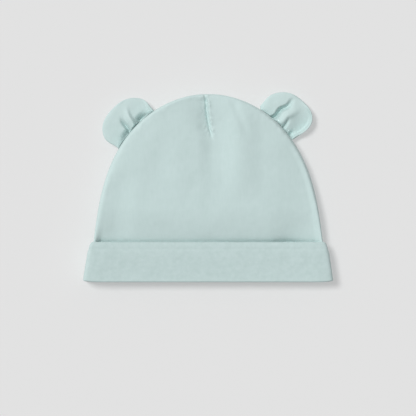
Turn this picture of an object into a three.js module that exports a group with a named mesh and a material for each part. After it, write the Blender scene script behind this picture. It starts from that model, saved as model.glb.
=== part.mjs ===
// A baby hat with ears, made of velour and laid flat on its back, in millimetres.
// +Z is up from the table, +Y runs from the turned-up cuff to the top of the crown.
// The hat is a hollow bag: a front and a back crown panel are sewn together along the
// outline, the cuff is sewn to their lower edge and folds up around them, and each ear
// is two cloth layers whose root is caught in the crown's side seam.
import * as THREE from "three";

// Cloth and sewing
const clothThickness = 2.4; // thick cotton velour with its pile
const sewnGap = 0.3; // left between two pieces that are sewn together

// Crown, measured on its outside above the cuff
const crownWidth = 163.6;
const crownHeight = 105.6;
const crownTaper = 0.165; // share of the width lost in a straight line to the top
const crownShoulder = 3.15; // exponent of the rounding towards the top
const crownRoom = 11.5; // height of the hollow between the two panels
const underRoom = 2.6; // part of the hollow that lies below the side seam
const frontFullness = 5.2; // exponent across the hat: higher is flatter, with fuller sides
const backFullness = 5;

// Cuff, turned up on the outside from its fold
const cuffHeight = 28.7;
const cuffFlare = 4.5; // how much further the fold stands out than the cuff's top, each side
const cuffSlack = 1.2; // loose cloth between the cuff and the crown at the two sides
const cuffCornerDrop = 1.5; // how far the cuff's top edge comes down at the two sides
const cuffOverlap = 7; // how far the crown's lower edge reaches down behind the cuff
const mouthRoom = 6.8; // height of the hollow at the fold
const waistRoom = 6.2; // height of the hollow at the cuff's top edge
const waistRise = 26; // length of crown over which the hollow swells above the cuff
const floorSink = 0.25; // how far the soft underside is pressed flat by the table

// Dart in the front panel, running down from the top
const dartLength = 29;
const dartWidth = 5;
const dartDepth = 1.7;
const dartStart = 0.25; // share of its length over which it deepens below the top
const dartEnd = 0.6; // share of its length over which it runs out

// Soft folds of the front panel
const foldRise = 1.1;

// Ears
const earReach = 24.8; // from the seam to the tip
const earWidth = 41.8; // widest, along the seam
const earThickness = 6; // both layers at the fullest place
const earRimThickness = 2.4; // both layers at the sewn rim
const earTabThickness = 2; // both layers inside the seam
const earTabDepth = 3.6; // how far the root goes into the seam
const earTabShare = 0.88; // how much of the root's width goes in
const earRootShare = 0.03; // share of the reach at which the ear swells out of the seam
const pleatStart = 0.12; // share of the reach over which a pleat rises from the root
const earLift = 1.6; // how much higher the tip is than the root
const earCup = 2.2; // how far the rim curls up
const earPleat = 3; // height of the folds pinched into the root
const earSideStart = 2.2; // height of the rim above the seam where it turns in to the root
const earSlotRamp = 7.5; // length of seam over which it opens towards an ear

const velourColour = "#bdd3cf";

// One row for each fold: where its middle starts and ends as shares of the half-width,
// the shares of the crown's height that it runs between, its width as a share of the
// half-width and its rise as a share of foldRise.
const frontFolds = [
  { atLow: 0.22, atHigh: 0.2, from: 0.28, to: 0.86, width: 0.2, rise: 0.9 },
  { atLow: -0.62, atHigh: -0.5, from: 0.12, to: 0.8, width: 0.26, rise: 0.8 },
  { atLow: -0.1, atHigh: -0.08, from: 0.4, to: 1, width: 0.16, rise: -0.9 },
  { atLow: 0.62, atHigh: 0.52, from: 0.2, to: 0.85, width: 0.2, rise: -0.7 },
  { atLow: 0.86, atHigh: 0.88, from: 0.0, to: 0.3, width: 0.14, rise: 0.6 },
];

// One row for each ear. The seat is where its root lies along the side seam, as shares
// of the crown's height. Width and reach are shares of earWidth and earReach, lean is how
// far the tip stands along the seat to the right, as a share of the ear's half-width, and
// squareness is the exponent of the rim's outline. In a pleat, at, width and reach are
// shares of the ear's own half-width and reach, and rise is a share of earPleat.
const ears = [
  {
    name: "ear_left",
    side: -1,
    seatLow: 0.624,
    seatHigh: 0.892,
    width: 1,
    reach: 0.9,
    lean: -0.05,
    squareness: 2.6,
    pleats: [
      { at: -0.3, width: 0.17, reach: 0.62, rise: -0.8 },
      { at: -0.02, width: 0.2, reach: 0.8, rise: 0.8 },
      { at: 0.34, width: 0.22, reach: 0.62, rise: -0.9 },
    ],
  },
  {
    name: "ear_right",
    side: 1,
    seatLow: 0.686,
    seatHigh: 0.898,
    width: 0.92,
    reach: 1,
    lean: 0.12,
    squareness: 2.7,
    pleats: [
      { at: -0.14, width: 0.2, reach: 0.85, rise: -1 },
      { at: 0.16, width: 0.2, reach: 0.8, rise: 0.8 },
      { at: 0.5, width: 0.24, reach: 0.6, rise: -0.7 },
    ],
  },
];

// How finely each surface is divided
const panelRows = 20;
const panelColumns = 26;
const cuffAround = 60;
const foldSteps = 5;
const cuffEdgeSteps = 3;
const earRows = 8;
const earColumns = 18;

// How sharply a form turns over: the higher the exponent, the nearer to its edge
const frontTopTurn = 7;
const backTopTurn = 8;
const seamFlatness = 4;
const seamOpening = 12;
const cornerTurn = 8;
const earEdgeTurn = 6;
const earCurl = 3;
const earPlumpness = 4;

const halfTurn = Math.PI;
const quarterTurn = Math.PI / 2;
const slopeStep = 1e-4; // small step over which a slope is taken
const nearly = 1e-6; // what counts as no distance between two turns or shares

// The hollow's own sizes follow from the outside and the cloth.
const hollowTop = cuffHeight + crownHeight - clothThickness;
const hollowCrownHeight = hollowTop - cuffHeight;
const hollowHalfWidth = crownWidth / 2 - clothThickness;
const cuffStack = 2 * clothThickness + sewnGap;
const crownEdge = cuffHeight - cuffOverlap;

const clamp = (x, low, high) => Math.min(high, Math.max(low, x));
const mix = (a, b, t) => a + (b - a) * t;

function smooth(x) {
  const t = clamp(x, 0, 1);
  return t * t * (3 - 2 * t);
}

// 1 at the middle of a fold, falling smoothly to 0 one width away
const bell = (distance, width) => 1 - smooth(Math.abs(distance) / width);

// A station runs from 0 at the cuff's fold to 1 at the top of the hollow, with its
// steps closing up towards the top, where the outline turns over.
const heightAt = (station) => hollowTop * Math.sin(station * quarterTurn);
const stationAt = (height) => Math.asin(clamp(height / hollowTop, -1, 1)) / quarterTurn;
const shareOfCrown = (height) => clamp((height - cuffHeight) / hollowCrownHeight, 0, 1);
const heightOfShare = (share) => cuffHeight + share * hollowCrownHeight;

function halfWidthAt(height) {
  if (height <= cuffHeight) {
    return hollowHalfWidth + cuffFlare * (1 - height / cuffHeight);
  }
  const share = shareOfCrown(height);
  return hollowHalfWidth * (1 - crownTaper * share) * Math.sqrt(1 - share ** crownShoulder);
}

// How far the crown has left the cuff behind: 0 at its top edge, 1 above the waist
const clearOfCuff = (height) => smooth((height - cuffHeight) / waistRise);

function depthBelowSeam(height) {
  return underRoom * Math.sqrt(1 - shareOfCrown(height) ** backTopTurn);
}

function depthAboveSeam(height) {
  const mouthward = clamp(1 - height / cuffHeight, 0, 1);
  const low = mix(waistRoom, mouthRoom, mouthward);
  const full = mix(low, crownRoom, clearOfCuff(height));
  return (full - underRoom) * Math.sqrt(1 - shareOfCrown(height) ** frontTopTurn);
}

function seamHeightAt(height) {
  const stack = mix(cuffStack, clothThickness, clearOfCuff(height));
  return stack + underRoom + sewnGap / 2 - floorSink;
}

// Folds and the dart raise or lower the whole wall of a panel.
function reliefOfFront(across, height) {
  const share = shareOfCrown(height);
  return frontFolds.reduce((sum, fold) => {
    const along = clamp((share - fold.from) / (fold.to - fold.from), 0, 1);
    const middle = mix(fold.atLow, fold.atHigh, along);
    const fade = Math.sin(along * halfTurn);
    return sum + foldRise * fold.rise * fade * bell(across - middle, fold.width);
  }, 0);
}

function dartDip(x, height) {
  const down = (hollowTop - height) / dartLength;
  const fade = smooth(down / dartStart) * smooth((1 - down) / dartEnd);
  return dartDepth * fade * bell(x, dartWidth / 2);
}

// The hollow's surface: turn is 0 along the middle of the front, a quarter turn at the
// right-hand seam and half a turn along the middle of the back.
function hollowPoint(station, turn) {
  const height = heightAt(station);
  const across = Math.sin(turn);
  const x = halfWidthAt(height) * across;
  const front = Math.cos(turn) >= 0;
  const fullness = front ? frontFullness : backFullness;
  const round = Math.sqrt(Math.max(0, 1 - Math.abs(across) ** fullness));
  const depth = front ? depthAboveSeam(height) : -depthBelowSeam(height);
  const edge = 1 - across ** seamFlatness;
  const relief = front ? edge * (reliefOfFront(across, height) - dartDip(x, height)) : 0;
  return new THREE.Vector3(x, height, seamHeightAt(height) + depth * round + relief);
}

// Where an ear is caught, the seam opens to take its root.
const earSlot = earTabThickness / 2 + sewnGap;
const rampShare = earSlotRamp / hollowCrownHeight;

function halfSeamGap(station, turn) {
  const share = shareOfCrown(heightAt(station));
  const side = Math.sign(Math.sin(turn));
  const open = ears.reduce((most, ear) => {
    if (ear.side !== side) return most;
    const above = (share - ear.seatLow) / rampShare + 1;
    const below = (ear.seatHigh - share) / rampShare + 1;
    return Math.max(most, smooth(Math.min(above, below)));
  }, 0);
  const atEdge = Math.abs(Math.sin(turn)) ** seamOpening;
  return mix(sewnGap / 2, earSlot, open * atEdge);
}

// A point of the cloth, this far outwards from the hollow. The front half stands half
// a seam's gap up and the back half as much down, and nothing goes below the table.
function clothPoint(station, turn, outwards) {
  const seat = hollowPoint(station, turn);
  const alongTurn = hollowPoint(station, turn + slopeStep).sub(
    hollowPoint(station, turn - slopeStep),
  );
  const alongStation = hollowPoint(station + slopeStep, turn).sub(
    hollowPoint(station - slopeStep, turn),
  );
  const normal = alongTurn.cross(alongStation).normalize();
  return settle(seat.addScaledVector(normal, outwards), station, turn);
}

function topPoint(turn, outwards) {
  const seamHeight = seamHeightAt(hollowTop);
  return settle(new THREE.Vector3(0, hollowTop + outwards, seamHeight), 1, turn);
}

function settle(point, station, turn) {
  const towardsFront = Math.abs(Math.cos(turn)) < nearly ? 0 : Math.sign(Math.cos(turn));
  point.z = Math.max(0, point.z + towardsFront * halfSeamGap(station, turn));
  return point;
}

const shortestEdge = 1e-4; // a triangle with a shorter edge has closed up to nothing

// Builds a closed surface from a grid of points by joining four neighbours at a time.
class Skin {
  constructor() {
    this.corners = [];
  }

  triangle(a, b, c) {
    const shortest = Math.min(a.distanceTo(b), b.distanceTo(c), c.distanceTo(a));
    if (shortest > shortestEdge) this.corners.push(a, b, c);
  }

  quad(a, b, c, d) {
    this.triangle(a, b, c);
    this.triangle(a, c, d);
  }

  geometry() {
    const made = new THREE.BufferGeometry().setFromPoints(this.corners);
    made.computeVertexNormals();
    return made;
  }
}

// A piece of cloth with an outer and an inner face, closed along its four edges
function wall(outer, inner) {
  const skin = new Skin();
  const lastRow = outer.length - 1;
  const lastColumn = outer[0].length - 1;
  for (let i = 0; i < lastRow; i++) {
    for (let j = 0; j < lastColumn; j++) {
      skin.quad(outer[i][j], outer[i][j + 1], outer[i + 1][j + 1], outer[i + 1][j]);
      skin.quad(inner[i][j], inner[i + 1][j], inner[i + 1][j + 1], inner[i][j + 1]);
    }
    skin.quad(outer[i][0], outer[i + 1][0], inner[i + 1][0], inner[i][0]);
    skin.quad(
      outer[i + 1][lastColumn],
      outer[i][lastColumn],
      inner[i][lastColumn],
      inner[i + 1][lastColumn],
    );
  }
  for (let j = 0; j < lastColumn; j++) {
    skin.quad(outer[0][j + 1], outer[0][j], inner[0][j], inner[0][j + 1]);
    skin.quad(outer[lastRow][j], outer[lastRow][j + 1], inner[lastRow][j + 1], inner[lastRow][j]);
  }
  return skin.geometry();
}

const grid = (rows, columns, place) =>
  rows.map((row) => columns.map((column) => place(row, column)));

const steps = (count) => Array.from({ length: count + 1 }, (_, i) => i / count);

// Even steps from 0 to 1, drawn closer together towards 1, where the cloth turns over
// at the side of the hat, or towards 0, where the crown leaves the cuff
const crowded = (step) => 1 - (1 - step) ** 1.9;
const crowdedLow = (step) => step ** 1.2;
const crowdedOut = (step) => mix(step, crowded(step), 0.5);

// Columns across a panel, from -1 to 1, as turns from the middle. The two next to the
// middle keep to the edges of the dart, so that its groove stays as wide as it is sewn.
function turnOfColumn(column, halfWidth) {
  const first = 2 / panelColumns;
  const dartEdge = Math.asin(clamp(dartWidth / 2 / Math.max(halfWidth, dartWidth), 0, 1));
  const nearDart = Math.min(dartEdge, first * quarterTurn);
  const reach = Math.abs(column);
  const turn =
    reach <= first
      ? (reach / first) * nearDart
      : mix(nearDart, quarterTurn, crowded((reach - first) / (1 - first)));
  return Math.sign(column) * turn;
}

function crownPanel(middleTurn) {
  const start = stationAt(crownEdge + sewnGap / 2);
  const stations = steps(panelRows).map((step) => mix(start, 1, crowdedLow(step)));
  const columns = steps(panelColumns).map((step) => 2 * step - 1);
  const face = (outwards) =>
    grid(stations, columns, (station, column) => {
      const turn = middleTurn + turnOfColumn(column, halfWidthAt(heightAt(station)));
      return panelPoint(station, turn, outwards, middleTurn);
    });
  return wall(face(clothThickness), face(0));
}

// A panel closes to one point at the top, and at its two seams it takes the height of
// its own half of the hat.
function panelPoint(station, turn, outwards, middleTurn) {
  if (station > 1 - nearly) return topPoint(middleTurn, outwards);
  const atSeam = Math.abs(Math.cos(turn)) < nearly;
  const inwards = atSeam ? 10 * nearly * Math.sign(middleTurn - turn) : 0;
  return clothPoint(station, turn + inwards, outwards);
}

// The cuff's cloth, seen where it is cut across: up the inside of the hat, round the
// fold at the mouth and up the outside, as heights above the fold and distances out.
function cuffProfile(turn) {
  const gap = sewnGap + cuffSlack * Math.sin(turn) ** 2;
  const outerLeg = clothThickness + gap;
  const foldRadius = (outerLeg + clothThickness) / 2;
  const edgeRadius = clothThickness / 2;
  const cornerDrop = cuffCornerDrop * Math.sin(turn) ** cornerTurn;
  const top = cuffHeight - cornerDrop - edgeRadius;
  const innerTop = crownEdge - sewnGap / 2;
  const arc = (centreHeight, centreOut, radius, from, to, count) =>
    steps(count).map((step) => {
      const angle = mix(from, to, step);
      return {
        height: centreHeight + radius * Math.sin(angle),
        out: centreOut + radius * Math.cos(angle),
      };
    });
  return [
    { height: innerTop, out: 0 },
    ...arc(foldRadius, foldRadius, foldRadius, halfTurn, 2 * halfTurn, foldSteps),
    { height: cuffHeight / 2, out: outerLeg + clothThickness },
    ...arc(top, outerLeg + edgeRadius, edgeRadius, 0, halfTurn, cuffEdgeSteps),
    { height: cuffHeight / 2, out: outerLeg },
    ...arc(foldRadius, foldRadius, gap / 2, 2 * halfTurn, halfTurn, 2),
    { height: innerTop, out: clothThickness },
  ];
}

function cuff() {
  const skin = new Skin();
  const toSide = steps(cuffAround / 4).map((step) => crowded(step) * quarterTurn);
  const toBack = toSide.map((turn) => halfTurn - turn).reverse();
  const overHalf = [...toSide.slice(0, -1), ...toBack.slice(0, -1)];
  const turns = [...overHalf, ...overHalf.map((turn) => turn + halfTurn)];
  const rings = turns.map((turn) =>
    cuffProfile(turn).map(({ height, out }) => clothPoint(stationAt(height), turn, out)),
  );
  rings.forEach((ring, i) => {
    const next = rings[(i + 1) % rings.length];
    ring.forEach((point, j) => {
      const k = (j + 1) % ring.length;
      skin.quad(point, next[j], next[k], ring[k]);
    });
  });
  return skin.geometry();
}

// An ear in its own frame: sideways runs along its seat, outwards away from the hat.
function earFrame(ear) {
  const seamPoint = (share) =>
    clothPoint(stationAt(heightOfShare(share)), ear.side * quarterTurn, clothThickness);
  const shares = ear.side < 0 ? [ear.seatLow, ear.seatHigh] : [ear.seatHigh, ear.seatLow];
  const ends = shares.map(seamPoint);
  const middle = ends[0].clone().lerp(ends[1], 0.5);
  const sideways = ends[1].clone().sub(ends[0]).setZ(0).normalize();
  const outwards = new THREE.Vector3(-sideways.y, sideways.x, 0);
  const rootAt = (across) => seamPoint(mix(shares[0], shares[1], (across + 1) / 2));
  return { middle, sideways, outwards, rootAt };
}

// The middle surface of an ear, with its pleats. Along is 0 at the seam and 1 at the rim.
function earSurface(ear, frame, across, along) {
  const halfWidth = (earWidth * ear.width) / 2;
  const reach = earReach * ear.reach;
  const power = 2 / ear.squareness;
  const bend = across * quarterTurn;
  const roundAcross = Math.sign(across) * Math.abs(Math.sin(bend)) ** power;
  const roundOut = Math.max(0, Math.cos(bend)) ** power;
  const rimAcross = (roundAcross + ear.lean * roundOut) * halfWidth;
  const rimOut = mix(earSideStart, reach, roundOut);
  const rim = frame.middle
    .clone()
    .addScaledVector(frame.sideways, rimAcross)
    .addScaledVector(frame.outwards, rimOut);
  const root = frame.rootAt(across).addScaledVector(frame.outwards, sewnGap);
  const point = root.lerp(rim, along);
  const curl = earCup * nearRim(across, along) ** earCurl;
  point.z = seamHeightAt(point.y) + earLift * along + curl;
  for (const pleat of ear.pleats) {
    const fade = smooth(along / pleatStart) * (1 - smooth(along / pleat.reach));
    point.z += earPleat * pleat.rise * fade * bell(across - pleat.at, pleat.width);
  }
  return point;
}

// 0 in the middle of the root, 1 all along the sewn rim
const nearRim = (across, along) => 1 - (1 - along) * (1 - Math.abs(across) ** earEdgeTurn);

function earHalfThickness(across, along) {
  const rimHalf = earRimThickness / 2;
  const fullHalf = earThickness / 2;
  return mix(rimHalf, fullHalf, Math.sqrt(1 - nearRim(across, along) ** earPlumpness));
}

// One layer of an ear: which is 1 for the front and -1 for the back.
function earLayer(ear, which) {
  const frame = earFrame(ear);
  const columns = steps(earColumns).map((step) => 2 * step - 1);
  const tabRow = (depth) =>
    columns.map((column) => {
      const point = frame.rootAt(column * earTabShare).addScaledVector(frame.outwards, -depth);
      point.z = frame.middle.z;
      return { point, half: earTabThickness / 2 };
    });
  const alongs = steps(earRows).map((step) => mix(earRootShare, 1, crowdedOut(step)));
  const padRows = alongs.map((along) =>
    columns.map((column) => ({
      point: earSurface(ear, frame, column, along),
      half: earHalfThickness(column, along),
    })),
  );
  const rows = [tabRow(earTabDepth), tabRow(-sewnGap / 2), ...padRows];
  const raised = (distanceOf) =>
    rows.map((row) =>
      row.map(({ point, half }) => point.clone().setZ(point.z + which * distanceOf(half))),
    );
  const nearMiddle = raised(() => sewnGap / 2);
  const farSide = raised((half) => half);
  return which > 0 ? wall(farSide, nearMiddle) : wall(nearMiddle, farSide);
}

function piece(name, geometry) {
  const cloth = new THREE.MeshStandardMaterial({
    color: velourColour,
    roughness: 0.95,
    metalness: 0,
    flatShading: true,
  });
  const mesh = new THREE.Mesh(geometry, cloth);
  mesh.name = name;
  return mesh;
}

const hat = new THREE.Group();
hat.add(piece("crown_front", crownPanel(0)));
hat.add(piece("crown_back", crownPanel(halfTurn)));
hat.add(piece("cuff", cuff()));
for (const ear of ears) {
  hat.add(piece(`${ear.name}_front`, earLayer(ear, 1)));
  hat.add(piece(`${ear.name}_back`, earLayer(ear, -1)));
}

// The frame's origin is under the middle of the whole hat, on the table.
const around = new THREE.Box3().setFromObject(hat);
const middle = around.getCenter(new THREE.Vector3());
hat.position.set(-middle.x, -middle.y, -around.min.z);

export default hat;
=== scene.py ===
# %% [markdown]
# A baby hat with ears, in velour, laid flat on its back. This lesson dresses a packed
# construction model: the frame fixes every size and place, and the pieces made here
# stand where its plain solids are. Lengths are in metres, +Z is up from the table and
# +Y runs from the cuff's fold to the top of the crown.

import math

import bmesh
import bpy
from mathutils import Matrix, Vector, noise


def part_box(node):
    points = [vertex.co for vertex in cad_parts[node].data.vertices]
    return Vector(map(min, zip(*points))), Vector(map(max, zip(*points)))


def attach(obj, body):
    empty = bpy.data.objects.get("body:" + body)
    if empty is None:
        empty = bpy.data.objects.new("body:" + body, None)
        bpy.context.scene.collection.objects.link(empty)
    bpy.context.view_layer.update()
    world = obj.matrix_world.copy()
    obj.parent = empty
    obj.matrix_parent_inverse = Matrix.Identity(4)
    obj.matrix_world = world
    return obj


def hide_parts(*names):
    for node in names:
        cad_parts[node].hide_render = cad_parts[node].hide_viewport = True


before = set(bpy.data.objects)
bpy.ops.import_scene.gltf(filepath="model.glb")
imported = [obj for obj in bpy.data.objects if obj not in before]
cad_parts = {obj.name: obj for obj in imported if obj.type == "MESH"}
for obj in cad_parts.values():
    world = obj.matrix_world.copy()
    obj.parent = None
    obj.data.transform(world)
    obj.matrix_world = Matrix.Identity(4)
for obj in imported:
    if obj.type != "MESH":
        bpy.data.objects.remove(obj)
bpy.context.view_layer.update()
print("nodes", sorted(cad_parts))

# %% [markdown]
# Everything on the hat is placed from a few heights that the frame gives: the fold of
# the cuff at the mouth, the cuff's free edge, and the top of the crown. The cloth's own
# sizes are named once here and used by every piece.

# %% Name the sizes that the pieces share
mm = 0.001
cuff_low, cuff_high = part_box("cuff")
crown_low, crown_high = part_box("crown_front")
fold_y = cuff_low.y
cuff_y = cuff_high.y
top_y = crown_high.y
cuff_height = cuff_y - fold_y
crown_height = top_y - cuff_y

CLOTH = 2.4 * mm  # thick cotton velour with its pile
SEWN_GAP = 0.3 * mm
CROWN_HALF_WIDTH = 81.84 * mm
CROWN_TAPER = 0.159  # share of the width lost in a straight line to the top
CROWN_SHOULDER = 3.072  # exponent of the rounding towards the top
CROWN_ROUND = 0.511
CUFF_FLARE = 4.5 * mm
CUFF_OVERLAP = 7 * mm
UNDER_DEPTH = 2.6 * mm  # hollow below the side seam
FULL_DEPTH = 8.9 * mm  # hollow above the side seam, clear of the cuff
WAIST_DEPTH = 3.6 * mm
MOUTH_DEPTH = 4.2 * mm
WAIST_RISE = 26 * mm
FLOOR_SINK = 0.25 * mm
EDGE_TURN = 1.1 * mm  # how far in from the outline the cloth's rounded edge reaches
TOP_FULLNESS = 30
TURN = 1 / 3.5  # the lower this exponent, the tighter the cloth turns over at the outline
RIM_SHARE = 0.9999  # from here on a point counts as on the rim, whatever its last digits
print("cuff height", round(cuff_height / mm, 2), "crown height", round(crown_height / mm, 2))

# %% [markdown]
# Cloth has no corners, so every fade between two shapes is a smooth step, and every
# soft fold is a bell: 1 on the fold's line and 0 one width away.

# %% Helpers for soft shapes
def clamp(x, low=0.0, high=1.0):
    return min(high, max(low, x))


def mix(a, b, t):
    return a + (b - a) * t


def smooth(x):
    t = clamp(x)
    return t * t * (3 - 2 * t)


def bell(distance, width):
    return 1 - smooth(abs(distance) / width)


def along_table(rows, key, value, at):
    """The smooth value at a place between the rows of a short table."""
    if at <= rows[0][key]:
        return rows[0][value]
    for low, high in zip(rows, rows[1:]):
        if at <= high[key]:
            t = (at - low[key]) / (high[key] - low[key])
            return mix(low[value], high[value], smooth(t))
    return rows[-1][value]


def rough(x, y, z, grain, seed):
    """Gentle unevenness from -1 to 1, with lumps about one grain wide."""
    return noise.noise(Vector((x / grain + seed, y / grain - seed, z / grain)))


# %% [markdown]
# The hat is one bag. Its outline is the crown's rounded arch above the cuff and widens
# in a straight line below it. Across the bag, the front stands up from the side seam
# and the back lies almost flat on the table. The crown, the cuff and the ears all read
# these few functions, so they stay sewn together.

# %% Describe the bag
def crown_share(y):
    return clamp((y - cuff_y) / crown_height)


def half_width(y):
    """Half the hat's width at this height, measured on the outside of the crown."""
    if y <= cuff_y:
        return CROWN_HALF_WIDTH + CUFF_FLARE * (cuff_y - y) / cuff_height
    share = crown_share(y)
    straight = CROWN_HALF_WIDTH * (1 - CROWN_TAPER * share)
    return straight * (1 - share ** CROWN_SHOULDER) ** CROWN_ROUND


def clear_of_cuff(y):
    return smooth((y - cuff_y) / WAIST_RISE)


def seam_height(y):
    stack = mix(2 * CLOTH + SEWN_GAP, CLOTH, clear_of_cuff(y))
    return stack + UNDER_DEPTH + SEWN_GAP / 2 - FLOOR_SINK


def depth_above(y):
    """How far the hollow reaches above the side seam."""
    low = mix(WAIST_DEPTH, MOUTH_DEPTH, clamp((cuff_y - y) / cuff_height))
    full = mix(low, FULL_DEPTH, clear_of_cuff(y))
    return full * (1 - clamp(crown_share(y) / RIM_SHARE) ** TOP_FULLNESS) ** TURN


def depth_below(y):
    return (UNDER_DEPTH + CLOTH) * math.sqrt(1 - crown_share(y) ** 8)


print("widest", round(2 * half_width(fold_y) / mm, 1), "crown", round(2 * half_width(cuff_y) / mm, 1))

# %% [markdown]
# The crown's character is in its relief. A dart is sewn into the front from the top
# down: its line is a narrow crease that leans to the right, the cloth left of it drops
# steeply into the furrow, and the cloth right of it is puckered by the stitches. The
# furrow runs on below the dart and dies out. Each row of the table is one soft fold,
# with the two ends of its line, its half-width and its rise.

# %% Describe the crown's dart and folds
DART_LINE = [
    {"y": 33.0, "x": 3.2},
    {"y": 36.5, "x": 2.1},
    {"y": 43.0, "x": 0.8},
    {"y": 50.5, "x": -0.5},
    {"y": 59.5, "x": -1.4},
    {"y": 67.0, "x": -2.4},
]
FURROW_DEPTH = [
    {"y": -18.0, "depth": 0.0},
    {"y": 2.0, "depth": 0.7},
    {"y": 30.0, "depth": 1.8},
    {"y": 50.0, "depth": 4.2},
    {"y": 60.0, "depth": 3.3},
    {"y": 67.0, "depth": 2.1},
]
SOFT_FOLDS = [
    {"x1": 23.0, "y1": 52, "x2": 24.0, "y2": 4, "width": 16, "rise": 1.7},
    {"x1": 17.0, "y1": 63, "x2": 26.5, "y2": 40, "width": 4.5, "rise": -0.6},
    {"x1": -18.0, "y1": 56, "x2": -22.0, "y2": 0, "width": 15, "rise": 0.5},
    {"x1": 71.0, "y1": 24, "x2": 74.0, "y2": -32, "width": 32, "rise": -2.2},
    {"x1": -64.0, "y1": 2, "x2": -66.0, "y2": -36, "width": 16, "rise": -1.2},
    {"x1": -42.0, "y1": -22, "x2": 8.0, "y2": -28, "width": 14, "rise": 0.5},
    {"x1": -34.0, "y1": 44, "x2": -52.0, "y2": 14, "width": 16, "rise": 0.5},
]
FURROW_LEFT = 11.0  # width of the steep side of the furrow
FURROW_RIGHT = 19.0
PINCH_LEFT = 8.0  # along the stitches the furrow falls ever steeper to the sewn line
PINCH_RIGHT = 2.0
CREASE_WIDTH = 1.3
CREASE_DEPTH = 0.9
PUCKER_STEP = 4.1  # from one stitch pucker to the next


def dart_x(y):
    return along_table(DART_LINE, "y", "x", y)


def dart_fade(y):
    """1 along the sewn dart, and 0 below the end of its stitching."""
    return smooth((y - DART_LINE[0]["y"]) / 7)


def furrow(x, y):
    depth = along_table(FURROW_DEPTH, "y", "depth", y)
    away = x - dart_x(y)
    pinched = smooth((y - DART_LINE[0]["y"] + 4) / 26)
    if away < 0:
        return -depth * mix(bell(away, FURROW_LEFT), math.exp(away / PINCH_LEFT), pinched)
    return -depth * mix(bell(away, FURROW_RIGHT), bell(away, PINCH_RIGHT), 0.8 * pinched)


def dart_crease(x, y):
    """The sewn line, with its puckers on the right-hand side."""
    sewn = dart_fade(y)
    if sewn == 0:
        return 0.0
    wander = 0.2 * math.sin(2 * math.pi * y / 9.5) + 0.35 * rough(0, y, 0, 3.0, 4.4)
    away = x - dart_x(y) - wander
    crease = -CREASE_DEPTH * math.exp(-((away / CREASE_WIDTH) ** 2) * 2)
    drift = 2.2 * rough(0, y, 0, 6.0, 2.9)
    beat = math.sin(2 * math.pi * (y + 0.55 * away) / PUCKER_STEP + drift)
    ridge = math.exp(-(((away - 1.9) / 1.5) ** 2))
    pucker = ridge * (0.25 + 0.1 * beat + 0.4 * rough(x, y, 0, 2.2, 9.1))
    left = 0.3 * math.exp(-(((away + 2.4) / 1.8) ** 2)) * rough(x, y, 0, 2.2, 1.7)
    return sewn * (crease + pucker + left)


def soft_fold(fold, x, y):
    start = Vector((fold["x1"], fold["y1"]))
    line = Vector((fold["x2"], fold["y2"])) - start
    spot = Vector((x, y)) - start
    t = spot.dot(line) / line.length_squared
    away = (spot - line * t).length
    fade = smooth((t + 0.35) / 0.5) * smooth((1.35 - t) / 0.5)
    return fold["rise"] * fade * bell(away, fold["width"])


print("dart length", round((top_y / mm) - DART_LINE[0]["y"], 1), "soft folds", len(SOFT_FOLDS))

# %% [markdown]
# Along the outline the two panels are sewn and turned, so the seam pushes the cloth up
# into a lip that sinks away inwards. Low on the sides it springs up most, right at the
# edge. Beside an ear more layers meet in the seam, and the lip is puckered. The distance
# to the outline comes from the arch's own formula and its slope, which is close enough
# for the few millimetres that matter.

# %% Describe the seam's lip
EAR_SEATS = [
    {"side": -1, "low": 0.624, "high": 0.892},
    {"side": 1, "low": 0.686, "high": 0.898},
]
LIP_RISE = 1.0
LIP_FALL = 3.2  # distance in which the lip sinks to a third
LIP_TURN = 2.4  # distance in which it rounds over to the outline
SIDE_RISE = {-1: 1.2, 1: 2.2}  # on the left and on the right
SIDE_FALL = 4.2
SIDE_TURN = 0.4
LIP_END = 25  # further in than this, no lip is left


def outline_distance(x, y):
    """Distance from a point of the crown to its outline, in metres."""
    step = 0.2 * mm
    room = lambda px, py: half_width(min(py, top_y - 1e-7)) - abs(px)
    here = room(x, y)
    slope_y = (room(x, y) - room(x, y - step)) / step
    by_side = here / math.hypot(1, slope_y)
    return max(0.0, min(by_side, top_y - y))


def beside_ear(x, y):
    share = crown_share(y)
    near = 0.0
    for seat in EAR_SEATS:
        if seat["side"] * x > 0:
            inside = min(share - seat["low"], seat["high"] - share)
            near = max(near, smooth(inside / 0.05 + 1))
    return near


def low_side(y):
    """1 just above the cuff, 0 from the middle of the crown upwards."""
    return smooth((6 - y / mm) / 36)


def seam_lip(x, y):
    away = outline_distance(x, y) / mm
    if away > LIP_END:
        return 0.0
    low = low_side(y)
    ear = beside_ear(x, y)
    uneven = 1 + (0.25 + 0.45 * ear) * rough(x / mm, y / mm, 0, 3.4, 2.3)
    fall = math.exp(-away / mix(LIP_FALL, SIDE_FALL, low))
    turned = smooth(away / mix(LIP_TURN, SIDE_TURN, low))
    return mix(LIP_RISE * uneven, SIDE_RISE[1 if x > 0 else -1], low) * fall * turned


print("beside the left ear", round(beside_ear(-40 * mm, cuff_y + 0.75 * crown_height), 2))

# %% [markdown]
# Where the crown comes out from under the cuff it is pressed down, most of all at the
# cuff's very edge. Its sides stay full almost to the outline, where the seam turns the
# cloth down at once. The front's height adds all of this up.

# %% Add up the front's height
LOW_FULLNESS = 32
HIGH_FULLNESS = 20
FULLNESS_RISE = 60 * mm
PRESS_DEPTH = 2.4  # millimetres, like the three below
PRESS_FALL = 6
EDGE_PRESS = 1.3  # pressed in further, right under the cuff's edge
EDGE_PRESS_FALL = 1.3


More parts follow.
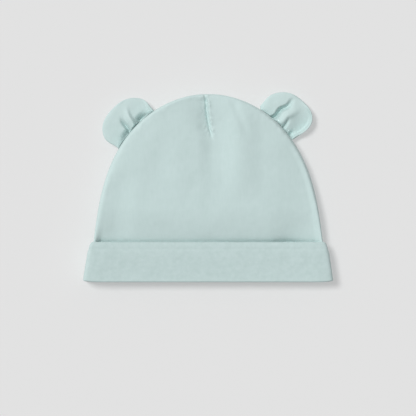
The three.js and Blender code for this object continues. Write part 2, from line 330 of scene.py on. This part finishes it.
def cuff_press(x, y):
    up = max(0.0, (y - cuff_y) / mm)
    uneven = 0.9 + 0.2 * math.sin(x / (23 * mm)) + 0.2 * rough(x / mm, 0, 0, 30, 7.7)
    uneven += 0.7 * bell(x / mm - 57, 16) + 0.5 * bell(x / mm + 79, 8)
    broad = PRESS_DEPTH * math.exp(-up / PRESS_FALL)
    return -uneven * (broad + EDGE_PRESS * math.exp(-up / EDGE_PRESS_FALL))


def front_dome(x, y, width):
    """From 1 in the middle to 0 at the seam."""
    fullness = mix(LOW_FULLNESS, HIGH_FULLNESS, smooth((y - cuff_y) / FULLNESS_RISE))
    across = clamp(abs(x) / max(width * RIM_SHARE, 1e-6))
    return (1 - across ** fullness) ** TURN


def broad_relief(px, py):
    """What the whole wall follows, in millimetres: the furrow, the folds and the press."""
    folds = sum(soft_fold(fold, px, py) for fold in SOFT_FOLDS)
    return furrow(px, py) + folds + cuff_press(px * mm, py * mm)


def front_height(x, y):
    away = outline_distance(x, y)
    dome = front_dome(x, y, half_width(min(y, top_y)))
    cloth = CLOTH * math.sqrt(1 - (1 - clamp(away / EDGE_TURN)) ** 2)
    px, py = x / mm, y / mm
    waves = 0.16 * rough(px, py, 0, 13, 3.1) + 0.06 * rough(px, py, 0, 4.2, 5.9)
    total = smooth(away / (6 * mm)) * (broad_relief(px, py) + waves)
    total += seam_lip(x, y) + dart_crease(px, py) * smooth(away / (0.4 * mm))
    return seam_height(y) + SEWN_GAP / 2 + cloth + depth_above(y) * dome + total * mm


def back_height(x, y):
    width = max(half_width(min(y, top_y)), 1e-6)
    across = clamp(abs(x) / width)
    belly = math.sqrt(max(0.0, 1 - across ** 5))
    waves = 0.1 * mm * rough(x / mm, y / mm, 0, 9, 6.3)
    low = seam_height(y) - SEWN_GAP / 2 - depth_below(y) * belly + waves * (1 - across)
    return max(0.0, low)


print("front height", round(front_height(0.02, 0.0) / mm, 2), "mm at the middle")

# %% [markdown]
# A crown panel is a half-round piece of cloth. A square grid is stretched over it: each
# ring of the square becomes a smaller copy of the outline, and the rings close up
# towards the seam, where the cloth turns over. A second, inner grid one cloth's
# thickness below is joined to the first along the edge, which makes a closed wall.

# %% Stretch a square grid over a crown panel
PANEL_COLUMNS = 200
PANEL_ROWS = 120
SIDE_SHARE = 0.46  # share of the half outline that the square's side takes
foot_y = cuff_y - CUFF_OVERLAP


def outline_point(turn):
    """A point of the arch: turn is 0 at the right foot, 1 at the top, 2 at the left foot."""
    quarter = turn if turn <= 1 else 2 - turn
    y = foot_y + (top_y - foot_y) * math.sin(quarter * math.pi / 2)
    side = 1 if turn <= 1 else -1
    return side * half_width(y), y


def panel_point(u, v):
    """From a square, u from -1 to 1 and v from 0 to 1, to a place on the panel."""
    ring = max(abs(u), v)
    if ring < 1e-9:
        return 0.0, foot_y
    if v >= abs(u):
        turn = 1 - (u / ring) * (1 - SIDE_SHARE)
    else:
        right = (v / ring) * SIDE_SHARE
        turn = right if u > 0 else 2 - right
    x, y = outline_point(turn)
    reach = 1 - (1 - ring) ** 1.45
    return x * reach, foot_y + (y - foot_y) * reach


def panel_face(bm, height, inset, flip):
    """Adds one face of a panel's cloth, moved inwards from the outline by the inset."""
    made = bmesh.ops.create_grid(
        bm, x_segments=PANEL_COLUMNS, y_segments=PANEL_ROWS, size=1.0
    )
    for vert in made["verts"]:
        x, y = panel_point(vert.co.x, (vert.co.y + 1) / 2)
        shrink = 1 - inset / CROWN_HALF_WIDTH
        vert.co = (x * shrink, foot_y + (y - foot_y) * shrink, height(x, y))
    if flip:
        faces = {face for vert in made["verts"] for face in vert.link_faces}
        bmesh.ops.reverse_faces(bm, faces=list(faces))
    return made["verts"]


def link(name, bm):
    """Turns a finished bmesh into a smooth-shaded object at the origin."""
    mesh = bpy.data.meshes.new(name)
    bm.to_mesh(mesh)
    bm.free()
    mesh.polygons.foreach_set("use_smooth", [True] * len(mesh.polygons))
    piece = bpy.data.objects.new(name, mesh)
    bpy.context.scene.collection.objects.link(piece)
    print(name, "faces", len(mesh.polygons))
    return piece


# %% [markdown]
# Where the stitches pinch the cloth, the grid is cut finer before it is shaped, so that
# the narrow crease and its puckers are real relief and not paint.

# %% Make the two crown panels
def front_inner(x, y):
    dome = front_dome(x, y, half_width(min(y, top_y)) - CLOTH)
    inner = smooth((outline_distance(x, y) - CLOTH) / (6 * mm))
    lift = max(0.0, depth_above(y) * dome + broad_relief(x / mm, y / mm) * inner * mm)
    return seam_height(y) + SEWN_GAP / 2 + lift


def back_inner(x, y):
    return min(back_height(x, y) + CLOTH, seam_height(y) - SEWN_GAP / 2)


def cut_finer(bm):
    """Cuts the grid round the dart twice as fine, while the sheet is still flat."""
    pinched = []
    for edge in bm.edges:
        middle = (edge.verts[0].co + edge.verts[1].co) / 2
        near = abs(middle.x / mm - dart_x(middle.y / mm)) < 8.5
        if near and middle.y / mm > DART_LINE[0]["y"] - 6 and not edge.is_boundary:
            pinched.append(edge)
    bmesh.ops.subdivide_edges(bm, edges=pinched, cuts=1, use_grid_fill=True)


def crown_panel(name, outer, inner, faces_up):
    bm = bmesh.new()
    panel_face(bm, lambda x, y: 0.0, 0.0, False)
    if faces_up:
        cut_finer(bm)
    for vert in bm.verts:
        vert.co.z = outer(vert.co.x, vert.co.y)
    rim = [edge for edge in bm.edges if edge.is_boundary]
    inner_verts = set(panel_face(bm, inner, CLOTH, True))
    rim += [e for e in bm.edges if e.is_boundary and e.verts[0] in inner_verts]
    bmesh.ops.bridge_loops(bm, edges=rim)
    bmesh.ops.recalc_face_normals(bm, faces=bm.faces)
    return link(name, bm)


crown_front = crown_panel("crown_front_velour", front_height, front_inner, True)
crown_back = crown_panel("crown_back_velour", back_height, back_inner, False)

# %% [markdown]
# The cuff is the lower end of the bag, folded up outside. Cut across, its cloth goes up
# the inside, round the fold at the mouth and up the outside to a rounded free edge. A
# grid wraps this closed line round the hat, pushed out from the bag along the bag's
# own slope.

# %% Describe the cuff's cloth where it is cut across
CUFF_SLACK = 0.4 * mm
CORNER_ROUND = 4.2 * mm  # the rounding of the free edge where it turns the hat's side
FOLD_CORNER = 5  # 2 would be a round fold, more is flatter and tighter
EDGE_ROUND = CLOTH / 2
SIDE_CORNER = 5  # 2 would be a round turn at the hat's side, more is boxier


def arc(middle_up, middle_out, radius, start, end, count, square=2):
    """Points of a turn of the cloth, as heights up and distances out."""
    points = []
    for i in range(count + 1):
        angle = mix(start, end, i / count)
        rise = math.copysign(abs(math.sin(angle)) ** (2 / square), math.sin(angle))
        run = math.copysign(abs(math.cos(angle)) ** (2 / square), math.cos(angle))
        points.append((middle_up + radius * rise, middle_out + radius * run))
    return points


def straight(start, end, out, count):
    return [(mix(start, end, i / count), out) for i in range(1, count)]


def cuff_profile(turn):
    """The closed line, from the seam with the crown and back to it."""
    side = math.sin(turn) ** 2
    gap = SEWN_GAP + CUFF_SLACK * side
    out = CLOTH + gap
    fold = (out + CLOTH) / 2
    wavy = 0.35 * mm * rough(40 * math.cos(turn), 40 * math.sin(turn), 0, 7, 8.8)
    top = cuff_height - EDGE_ROUND + wavy
    inner_top = cuff_height - CUFF_OVERLAP - SEWN_GAP / 2
    half = math.pi
    return [
        (inner_top, 0.0),
        *straight(inner_top, fold, 0.0, 8),
        *arc(fold, fold, fold, half, 2 * half, 20, FOLD_CORNER),
        *straight(fold, top, out + CLOTH, 46),
        *arc(top, out + EDGE_ROUND, EDGE_ROUND, 0, half, 7),
        *straight(top, fold, out, 10),
        *arc(fold, fold, gap / 2, 2 * half, half, 3),
        *straight(fold, inner_top, CLOTH, 8),
        (inner_top, CLOTH),
    ]


print("points in the cuff's line", len(cuff_profile(0)))

# %% [markdown]
# The cuff is seated on the bag's inner face. At each point the bag's two slopes give the
# direction straight out of the cloth, and the cut line's distance is laid off along it.
# Only the outer layer takes the lumps and the ends that spring up.

# %% Place the cuff's cloth round the bag
END_ROLL = {-1: 1.8, 1: 2.0}  # millimetres that the left and the right end spring up
END_FALL = 9
EDGE_DIP = 1.9  # how much lower the free edge lies, in millimetres
EDGE_DIP_FALL = 5
EDGE_LINE = 5.0  # a faint line runs along the free edge, this far in
FOLD_ROLL = 0.7


def bag_point(up, turn):
    """The inside of the bag, this far up from the fold. A turn of 0 is the front."""
    y = fold_y + up
    across = math.sin(turn)
    front = math.cos(turn) >= 0
    fullness = LOW_FULLNESS if front else 5
    round_off = max(0.0, 1 - abs(across) ** fullness) ** (TURN if front else 0.5)
    low = mix(WAIST_DEPTH, MOUTH_DEPTH, clamp((cuff_y - y) / cuff_height))
    depth = low if front else -UNDER_DEPTH
    flare = CUFF_FLARE * (1 - up / cuff_height)
    x = (CROWN_HALF_WIDTH - CLOTH + flare) * across
    stack = 2 * CLOTH + SEWN_GAP + UNDER_DEPTH + SEWN_GAP / 2 - FLOOR_SINK
    return Vector((x, y, stack + depth * round_off))


def cuff_relief(up, point):
    """Soft lumps of the outer face, and how its two ends and its edges spring up."""
    x, y = point.x / mm, point.y / mm
    lumps = 0.2 * rough(x, y, 0, 9, 1.3) + 0.1 * rough(x, y, point.z / mm, 3.3, 6.1)
    end = CROWN_HALF_WIDTH + CUFF_FLARE * (1 - up / cuff_height) + CLOTH + CUFF_SLACK
    roll = END_ROLL[1 if x > 0 else -1] * math.exp(-max(0.0, end / mm - abs(x)) / END_FALL)
    from_edge = (cuff_height - up) / mm
    edge_line = -0.2 * math.exp(-(((from_edge - EDGE_LINE) / 0.9) ** 2))
    edge_dip = -EDGE_DIP * math.exp(-max(0.0, from_edge) / EDGE_DIP_FALL)
    fold_roll = FOLD_ROLL * math.exp(-max(0.0, up / mm - 0.5) / 2.5)
    return (lumps + edge_line) * mm, (roll + fold_roll + edge_dip) * mm


def round_corner(place, up):
    """Lowers the free edge in a quarter round where it reaches the hat's side."""
    end = CROWN_HALF_WIDTH + CUFF_FLARE * (1 - up / cuff_height) + CLOTH + CUFF_SLACK
    t = clamp((abs(place.x) - end) / CORNER_ROUND + 1)
    near_edge = smooth(3 * up / cuff_height - 2)
    return near_edge * CORNER_ROUND * (1 - math.sqrt(1 - t * t))


def boxed(outward):
    """Stretches a direction so that the cloth turns the hat's side in a tight corner."""
    flat = math.hypot(outward.x, outward.z)
    square = (abs(outward.x) ** SIDE_CORNER + abs(outward.z) ** SIDE_CORNER) ** (1 / SIDE_CORNER)
    return outward * (flat / square)


def cuff_point(turn, up, out):
    step = 1e-4
    seat = bag_point(up, turn)
    around = bag_point(up, turn + step) - bag_point(up, turn - step)
    upwards = bag_point(up + step * cuff_height, turn) - bag_point(up - step * cuff_height, turn)
    outward = around.cross(upwards).normalized()
    place = seat + boxed(outward) * out
    outer = smooth((out - 1.4 * CLOTH) / CLOTH)
    lumps, rise = cuff_relief(up, place)
    place += outward * outer * lumps
    place.z += outer * smooth(1.5 * outward.z) * rise
    place.y -= round_corner(place, up)
    place.z = max(0.0, place.z)
    return place


def make_cuff(around=560):
    profile_count = len(cuff_profile(0))
    bm = bmesh.new()
    bmesh.ops.create_grid(bm, x_segments=around, y_segments=profile_count, size=0.5)
    lines = {}
    for vert in bm.verts:
        share = vert.co.x + 0.5
        quarter, within = divmod(share * 4, 1)
        crowd = 1 - (1 - within) ** 1.7 if quarter % 2 == 0 else within ** 1.7
        turn = (quarter + crowd) * math.pi / 2
        column = round(share * around)
        if column not in lines:
            lines[column] = cuff_profile(turn)
        up, out = lines[column][round((vert.co.y + 0.5) * profile_count) % profile_count]
        vert.co = cuff_point(turn, up, out)
    bmesh.ops.remove_doubles(bm, verts=bm.verts, dist=1e-6)
    bmesh.ops.recalc_face_normals(bm, faces=bm.faces)
    return link("cuff_velour", bm)


cuff = make_cuff()

# %% [markdown]
# Each ear is two layers of velour, sewn at the rim, turned and lightly padded, with its
# root pinched into the crown's seam. It starts as a closed pillow that is modelled full.
# A cloth simulation then presses lightly on its skin, which moves it by less than a
# tenth of a millimetre, so the shape is the pillow's own. The pleats come after that,
# because they are held by the seam and not by the filling.

# %% Describe the ears
EAR_WIDTH = 41.8 * mm
EAR_REACH = 24.8 * mm
EAR_FULL = 2.7 * mm  # half the thickness of the filled ear
EAR_RIM = 0.7 * mm
EAR_LIFT = 1.6 * mm
PATTERN_EXTRA = 0.9 * mm  # added to the ear's outline, to bring it to its full size
ROOT_WIDTH = 0.87  # an ear is a little narrower where it goes into the seam
EAR_COLUMNS = 64
EAR_ROWS = 36
EARS = [
    {
        "name": "ear_left",
        "side": -1,
        "low": 0.624,
        "high": 0.892,
        "width": 0.98,
        "reach": 0.9,
        "lean": -0.07,
        "tuck": 0.0,
        "square": 2.45,
        "cup": 1.8,
        "pleats": [
            {"x1": -4.9, "y1": -1, "x2": -2.7, "y2": 9.0, "left": 1.6, "right": 2.2,
             "rise": -4.6, "wave": 0.2},
            {"x1": -0.6, "y1": -2, "x2": 4.4, "y2": 11.0, "left": 4.0, "right": 2.8,
             "rise": 2.8, "wave": 0.3},
            {"x1": 6.2, "y1": -6, "x2": 6.6, "y2": 2.0, "left": 3.2, "right": 9.5,
             "rise": -6.0, "wave": 0.0},
            {"x1": -6.4, "y1": -6, "x2": -5.8, "y2": 1.4, "left": 9.5, "right": 2.2,
             "rise": -4.8, "wave": 0.0},
        ],
    },
    {
        "name": "ear_right",
        "side": 1,
        "low": 0.686,
        "high": 0.898,
        "width": 0.92,
        "reach": 1.0,
        "lean": 0.12,
        "tuck": 0.07,
        "square": 2.5,
        "cup": 3.6,
        "pleats": [
            {"x1": -5.4, "y1": 0, "x2": -3.6, "y2": 15.5, "left": 2.4, "right": 2.6,
             "rise": -6.4, "wave": 0.65},
            {"x1": 0.6, "y1": -2, "x2": 2.6, "y2": 14.0, "left": 4.6, "right": 4.0,
             "rise": 2.0, "wave": 0.3},
            {"x1": 5.4, "y1": -1, "x2": 3.8, "y2": 7.0, "left": 1.3, "right": 2.2,
             "rise": -2.0, "wave": 0.2},
            {"x1": 16.5, "y1": 2, "x2": 15.5, "y2": 16.0, "left": 13.5, "right": 3.6,
             "rise": -3.4, "wave": 0.0},
            {"x1": 12.4, "y1": -1, "x2": 12.0, "y2": 3.4, "left": 2.4, "right": 2.4,
             "rise": -2.0, "wave": 0.0},
        ],
    },
]


def seat_point(ear, across):
    """A point of the crown's outline, from one end of the seat to the other."""
    start, end = ear["low"], ear["high"]
    if ear["side"] > 0:
        start, end = end, start
    y = cuff_y + mix(start, end, (across + 1) / 2) * crown_height
    return Vector((ear["side"] * half_width(y), y, seam_height(y)))


class Seat:
    """Where an ear is sewn on: a straight line under it, and the outline that bulges past."""

    def __init__(self, ear):
        start, end = seat_point(ear, -1), seat_point(ear, 1)
        self.middle = (start + end) / 2
        self.half = (end - start).xy.length / 2
        self.along = (end - start).xy.to_3d().normalized()
        self.away = Vector((-self.along.y, self.along.x, 0))
        self.bulge = (seat_point(ear, 0) - self.middle).dot(self.away)

    def measure(self, place):
        """How far across and out from the outline a place lies, and out from the seam."""
        flat = place - self.middle
        across = flat.dot(self.along)
        out = flat.dot(self.away) - self.bulge
        return across, out, out + self.bulge * (across / self.half) ** 2


def ear_flat(ear, seat, across, out):
    """A place on the ear laid flat: across from -1 to 1, out from 0 at the root to 1."""
    bend = across * math.pi / 2
    power = 2 / ear["square"]
    round_across = math.copysign(abs(math.sin(bend)) ** power, across)
    round_out = max(0.0, math.cos(bend)) ** power
    half = EAR_WIDTH * ear["width"] / 2 + PATTERN_EXTRA
    half *= mix(ROOT_WIDTH, 1.0, smooth(round_out / 0.55))
    half *= 1 - ear["tuck"] * smooth((across - 0.5) / 0.3)
    rim = seat.middle + seat.along * (round_across + ear["lean"] * round_out) * half
    rim += seat.away * mix(1.2 * mm, EAR_REACH * ear["reach"] + PATTERN_EXTRA, round_out)
    root = seat_point(ear, across * 0.97)
    place = root.lerp(rim, out)
    place.z = seam_height(root.y)
    return place


print("ears", [ear["name"] for ear in EARS])

# %% [markdown]
# The pillow is two copies of one flat shape, the first pushed up and the second down.
# Both keep to the middle height along the rim and the root, where they are merged.

# %% Make an ear's closed pillow
def near_rim(across, out):
    return 1 - (1 - out) * (1 - abs(across) ** 6)


def ear_pillow(ear, seat):
    """Two grids, the upper and the lower skin, merged along the rim and the root."""
    bm = bmesh.new()
    for side in (1, -1):
        made = bmesh.ops.create_grid(
            bm, x_segments=EAR_COLUMNS, y_segments=EAR_ROWS, size=1.0
        )
        for vert in made["verts"]:
            across, out = vert.co.x, (vert.co.y + 1) / 2
            rim = near_rim(across, out)
            puff = math.sqrt(max(0.0, 1 - rim ** 4)) * smooth((out + 0.25) / 0.5)
            edge = 0 if rim > 0.9999 or out < 1e-6 else 1
            place = ear_flat(ear, seat, across, out)
            place.z += side * edge * mix(EAR_RIM, EAR_FULL, puff)
            vert.co = place
        if side < 0:
            faces = {face for vert in made["verts"] for face in vert.link_faces}
            bmesh.ops.reverse_faces(bm, faces=list(faces))
    bmesh.ops.remove_doubles(bm, verts=bm.verts, dist=1e-5)
    bmesh.ops.recalc_face_normals(bm, faces=bm.faces)
    return link(ear["name"] + "_velour", bm)


# %% [markdown]
# The simulation holds the root, turns gravity off and lets a light pressure work for
# twenty frames. No point may move further than the cap, so the outline keeps the size
# that the frame gives, and the same start always gives the same ear.

# %% Fill an ear by simulation
FILL_FRAMES = 20
FILL_CAP = 0.9 * mm
scene = bpy.context.scene


def fill(piece, seat):
    before = [vert.co.copy() for vert in piece.data.vertices]
    roots = piece.vertex_groups.new(name="root")
    held = [i for i, co in enumerate(before) if seat.measure(co)[2] < 1.2 * mm]
    roots.add(held, 1.0, "REPLACE")
    cloth = piece.modifiers.new("fill", "CLOTH")
    cloth.settings.quality = 6
    cloth.settings.mass = 0.25
    cloth.settings.tension_stiffness = 18
    cloth.settings.compression_stiffness = 18
    cloth.settings.bending_stiffness = 0.6
    cloth.settings.use_pressure = True
    cloth.settings.uniform_pressure_force = 4
    cloth.settings.vertex_group_mass = "root"
    cloth.settings.effector_weights.gravity = 0
    cloth.collision_settings.use_collision = False
    cloth.point_cache.frame_start = 1
    cloth.point_cache.frame_end = FILL_FRAMES
    for number in range(1, FILL_FRAMES + 1):
        scene.frame_set(number)
    graph = bpy.context.evaluated_depsgraph_get()
    after = [vert.co.copy() for vert in piece.evaluated_get(graph).to_mesh().vertices]
    piece.modifiers.remove(cloth)
    scene.frame_set(1)
    furthest = 0.0
    for vert, old, new in zip(piece.data.vertices, before, after):
        move = new - old
        move = move * min(1.0, FILL_CAP / max(move.length, 1e-9))
        vert.co = old + move
        furthest = max(furthest, move.length)
    print(piece.name, "filled, furthest move", round(furthest / mm, 2), "mm")


# %% [markdown]
# The pleats are short folds that start in the seam: their height fades out towards the
# rim, and the rim itself curls up, most of all at each ear's right-hand end. They move
# both skins, but the lower skin follows less, since it lies on its filling.

# %% Pleat and curl an ear
PLEAT_WAVE = 1.8  # millimetres along a pleat for each radian of its sideways wave


def ear_pleats(ear, across, out):
    total = 0.0
    for pleat in ear["pleats"]:
        run = (out - pleat["y1"]) / (pleat["y2"] - pleat["y1"])
        x = mix(pleat["x1"], pleat["x2"], run) + pleat["wave"] * math.sin(out / PLEAT_WAVE)
        width = pleat["left"] if across < x else pleat["right"]
        fade = smooth((1.45 - run) / 0.9)
        total += pleat["rise"] * fade * bell(across - x, width)
    return total


def shape_ear(piece, ear, seat):
    reach = EAR_REACH * ear["reach"] - seat.bulge
    half = EAR_WIDTH * ear["width"] / 2
    seed = 3.7 + ear["side"]
    for vert in piece.data.vertices:
        across, out, from_seam = seat.measure(vert.co)
        level = vert.co.z - seat.middle.z
        upper = smooth((level / mm + 0.6) / 1.2)
        share = clamp(out / reach)
        here = half * mix(ROOT_WIDTH, 1.0, smooth(share / 0.55)) * (1 - ear["tuck"])
        to_rim = clamp((abs(across) / here) ** 4 + share ** 5)
        curled_end = smooth(across / half / 0.6 - 0.1)
        curl = ear["cup"] * mm * curled_end * smooth((to_rim - 0.6) / 0.4)
        pleats = ear_pleats(ear, across / mm, out / mm) * mm
        held = smooth(from_seam / (1.3 * mm))
        pleats *= held if pleats > 0 else mix(0.55, 1.0, held)
        uneven = 0.22 * mm * rough(across / mm, out / mm, 0, 6, seed)
        vert.co.z += EAR_LIFT * share + curl + mix(0.45, 1.0, upper) * pleats + uneven * upper
        vert.co.z = max(mix(0.2, 1.2, upper) * mm, vert.co.z)


def finish_ear(ear):
    seat = Seat(ear)
    piece = ear_pillow(ear, seat)
    fill(piece, seat)
    shape_ear(piece, ear, seat)
    fine = piece.modifiers.new("fine", "SUBSURF")
    fine.levels = 1
    fine.render_levels = 1
    return piece


ear_pieces = [finish_ear(ear) for ear in EARS]

# %% [markdown]
# Shader maths reads best as expressions. This small class wraps a socket, so that
# adding or multiplying two of them adds the Math node that does it.

# %% Write shader maths as expressions
class Value:
    def __init__(self, tree, socket):
        self.tree = tree
        self.socket = socket

    def math(self, operation, *others):
        return self.tree.node("ShaderNodeMath", {"operation": operation}, self, *others)

    def __add__(self, other):
        return self.math("ADD", other)

    def __sub__(self, other):
        return self.math("SUBTRACT", other)

    def __mul__(self, other):
        return self.math("MULTIPLY", other)

    def __rsub__(self, other):
        return self.tree.node("ShaderNodeMath", {"operation": "SUBTRACT"}, other, self)

    __radd__ = __add__
    __rmul__ = __mul__


class Tree:
    """A material's nodes. One method makes any node and returns its first output."""

    def __init__(self, name):
        self.material = bpy.data.materials.new(name)
        self.material.use_nodes = True
        self.nodes = self.material.node_tree.nodes
        self.links = self.material.node_tree.links
        self.shader = self.nodes["Principled BSDF"]

    def node(self, kind, settings=None, *values, output=0, **named):
        made = self.nodes.new(kind)
        for key, value in (settings or {}).items():
            setattr(made, key, value)
        for key, value in [*enumerate(values), *named.items()]:
            if isinstance(key, str):
                key = key.replace("_", " ")
            self.feed(made.inputs[key], value)
        return Value(self, made.outputs[output])

    def feed(self, socket, value):
        if isinstance(value, Value):
            self.links.new(value.socket, socket)
        else:
            socket.default_value = value

    def colour(self, factor, dark, light):
        settings = {"data_type": "RGBA"}
        made = self.node("ShaderNodeMix", settings, output=2)
        node = made.socket.node
        self.feed(node.inputs[0], factor)
        self.feed(node.inputs[6], (*dark, 1))
        self.feed(node.inputs[7], (*light, 1))
        return made


# %% [markdown]
# Velour is a knit whose loops are cut into a short, dense pile. It looks matt, with a
# pale bloom where the pile is seen from the side, which is what Sheen does. The pile
# lies in faint streaks down the crown, and on the turned-up cuff it is brushed the
# other way and looks more blotchy. There its colour is also painted a shade darker,
# painted shade for how the reversed pile takes the light. Fine noise in the bump gives
# the tips of the pile.

# %% Make the two velours
PALE = (0.612, 0.745, 0.738)
DEEP = (0.551, 0.686, 0.672)


def velour(name, stretch, blotch, contrast, painted_shade):
    tree = Tree(name)
    place = tree.node("ShaderNodeTexCoord", output="Object")
    streaked = tree.node("ShaderNodeMapping", {}, place, Scale=stretch)
    wide = tree.node("ShaderNodeTexNoise", {}, Vector=place, Scale=1 / (14 * mm), Detail=2.0)
    spots = tree.node("ShaderNodeTexNoise", {}, Vector=place, Scale=1 / (blotch * mm), Detail=3.0)
    streaks = tree.node(
        "ShaderNodeTexNoise", {}, Vector=streaked, Scale=1 / (1.6 * mm), Detail=3.0
    )
    pile = tree.node("ShaderNodeTexNoise", {}, Vector=place, Scale=1 / (0.45 * mm), Detail=4.0)
    tone = 0.5 + (wide - 0.5) * 0.5 + (spots - 0.5) * contrast + (streaks - 0.5) * 0.6
    tone = tone + (pile - 0.5) * 0.5
    # Scaling both tones down paints shade into the colour, which the cuff uses.
    dark = [c * painted_shade for c in DEEP]
    light = [c * painted_shade for c in PALE]
    tree.feed(tree.shader.inputs["Base Color"], tree.colour(tone, dark, light))
    height = pile * 0.6 + streaks * 0.3 + spots * 0.4
    bump = tree.node("ShaderNodeBump", {}, Height=height, Strength=0.35, Distance=0.25 * mm)
    tree.feed(tree.shader.inputs["Normal"], bump)
    tree.shader.inputs["Roughness"].default_value = 0.95
    tree.shader.inputs["Specular IOR Level"].default_value = 0.15
    tree.shader.inputs["Sheen Weight"].default_value = 0.35
    tree.shader.inputs["Sheen Roughness"].default_value = 0.45
    tree.shader.inputs["Sheen Tint"].default_value = (0.93, 1.0, 0.99, 1)
    return tree.material


# The cuff's velour is a darker copy of the same cloth: painted shade for its reversed pile.
crown_velour = velour("crown velour", (1.0, 0.22, 1.0), 5.0, 0.6, 1.0)
cuff_velour_painted_darker = velour("cuff velour painted darker", (1.0, 0.8, 1.0), 3.0, 1.8, 0.935)
for piece in (crown_front, crown_back, *ear_pieces):
    piece.data.materials.append(crown_velour)
cuff.data.materials.append(cuff_velour_painted_darker)

# %% [markdown]
# Each piece rides on the hat's one body and stands for the plain solids it replaces.

# %% Hand the pieces to the frame
sewn = [
    (crown_front, "velour", ["crown_front"]),
    (crown_back, "velour", ["crown_back"]),
    (cuff, "cuff_velour", ["cuff"]),
]
for ear, piece in zip(EARS, ear_pieces):
    sewn.append((piece, "velour", [ear["name"] + "_front", ear["name"] + "_back"]))
for piece, slot, nodes in sewn:
    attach(piece, "root")
    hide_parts(*nodes)

# %% [markdown]
# The hat lies on a plain pale table under soft light from the upper left. A second light
# from the same side is lower and casts no shadow, so it brings out the cloth's relief.
# The table gives off a little light of its own, as a lit sweep does, which keeps its
# shadows as pale as in the photograph.

# %% Lay the table
def make_table():
    bm = bmesh.new()
    bmesh.ops.create_grid(bm, x_segments=1, y_segments=1, size=4.0)
    return link("table", bm)


table = make_table()
table_paint = Tree("pale table")
table_paint.shader.inputs["Base Color"].default_value = (0.55, 0.55, 0.55, 1)
table_paint.shader.inputs["Roughness"].default_value = 1.0
table_paint.shader.inputs["Specular IOR Level"].default_value = 0.0
table_paint.shader.inputs["Emission Color"].default_value = (1, 1, 1, 1)
table_paint.shader.inputs["Emission Strength"].default_value = 0.25
table.data.materials.append(table_paint.material)

# %% [markdown]
# The lights are suns, so they shine alike on the whole hat. Each row names where one
# comes from, its strength and its width in degrees. A pale sky fills in the rest.

# %% Set the lights
LIGHTS = [
    {"name": "window", "from": (-0.39, 0.27, 1.0), "energy": 1.6, "angle": 17, "shadow": True},
    {"name": "low fill", "from": (-0.80, 0.45, 0.75), "energy": 0.80, "angle": 30, "shadow": False},
]
SKY_STRENGTH = 0.305


def make_lights():
    for row in LIGHTS:
        data = bpy.data.lights.new(row["name"], "SUN")
        data.energy = row["energy"]
        data.angle = math.radians(row["angle"])
        data.use_shadow = row["shadow"]
        light = bpy.data.objects.new(row["name"], data)
        light.rotation_euler = Vector(row["from"]).to_track_quat("Z", "Y").to_euler()
        scene.collection.objects.link(light)
    sky = bpy.data.worlds.new("soft room")
    sky.use_nodes = True
    sky.node_tree.nodes["Background"].inputs["Strength"].default_value = SKY_STRENGTH
    sky.node_tree.nodes["Background"].inputs["Color"].default_value = (1, 1, 1, 1)
    scene.world = sky


make_lights()
scene.view_settings.view_transform = "Standard"

# %% [markdown]
# The camera looks straight down, as in the photograph. A long lens from a metre and a
# half keeps the hat's sides upright, and the square frame leaves as much table round
# the hat as the photograph does.

# %% Place the camera
FRAME_WIDTH = 297.1 * mm
VIEW_DISTANCE = 1.5
VIEW_MIDDLE = Vector((-0.14 * mm, -14.8 * mm, 7 * mm))


def make_camera():
    data = bpy.data.cameras.new("above")
    data.sensor_width = 36
    data.lens = data.sensor_width * VIEW_DISTANCE / FRAME_WIDTH
    camera = bpy.data.objects.new("above", data)
    camera.location = VIEW_MIDDLE + Vector((0, 0, VIEW_DISTANCE))
    scene.collection.objects.link(camera)
    scene.camera = camera
    print("lens", round(data.lens, 1))


make_camera()
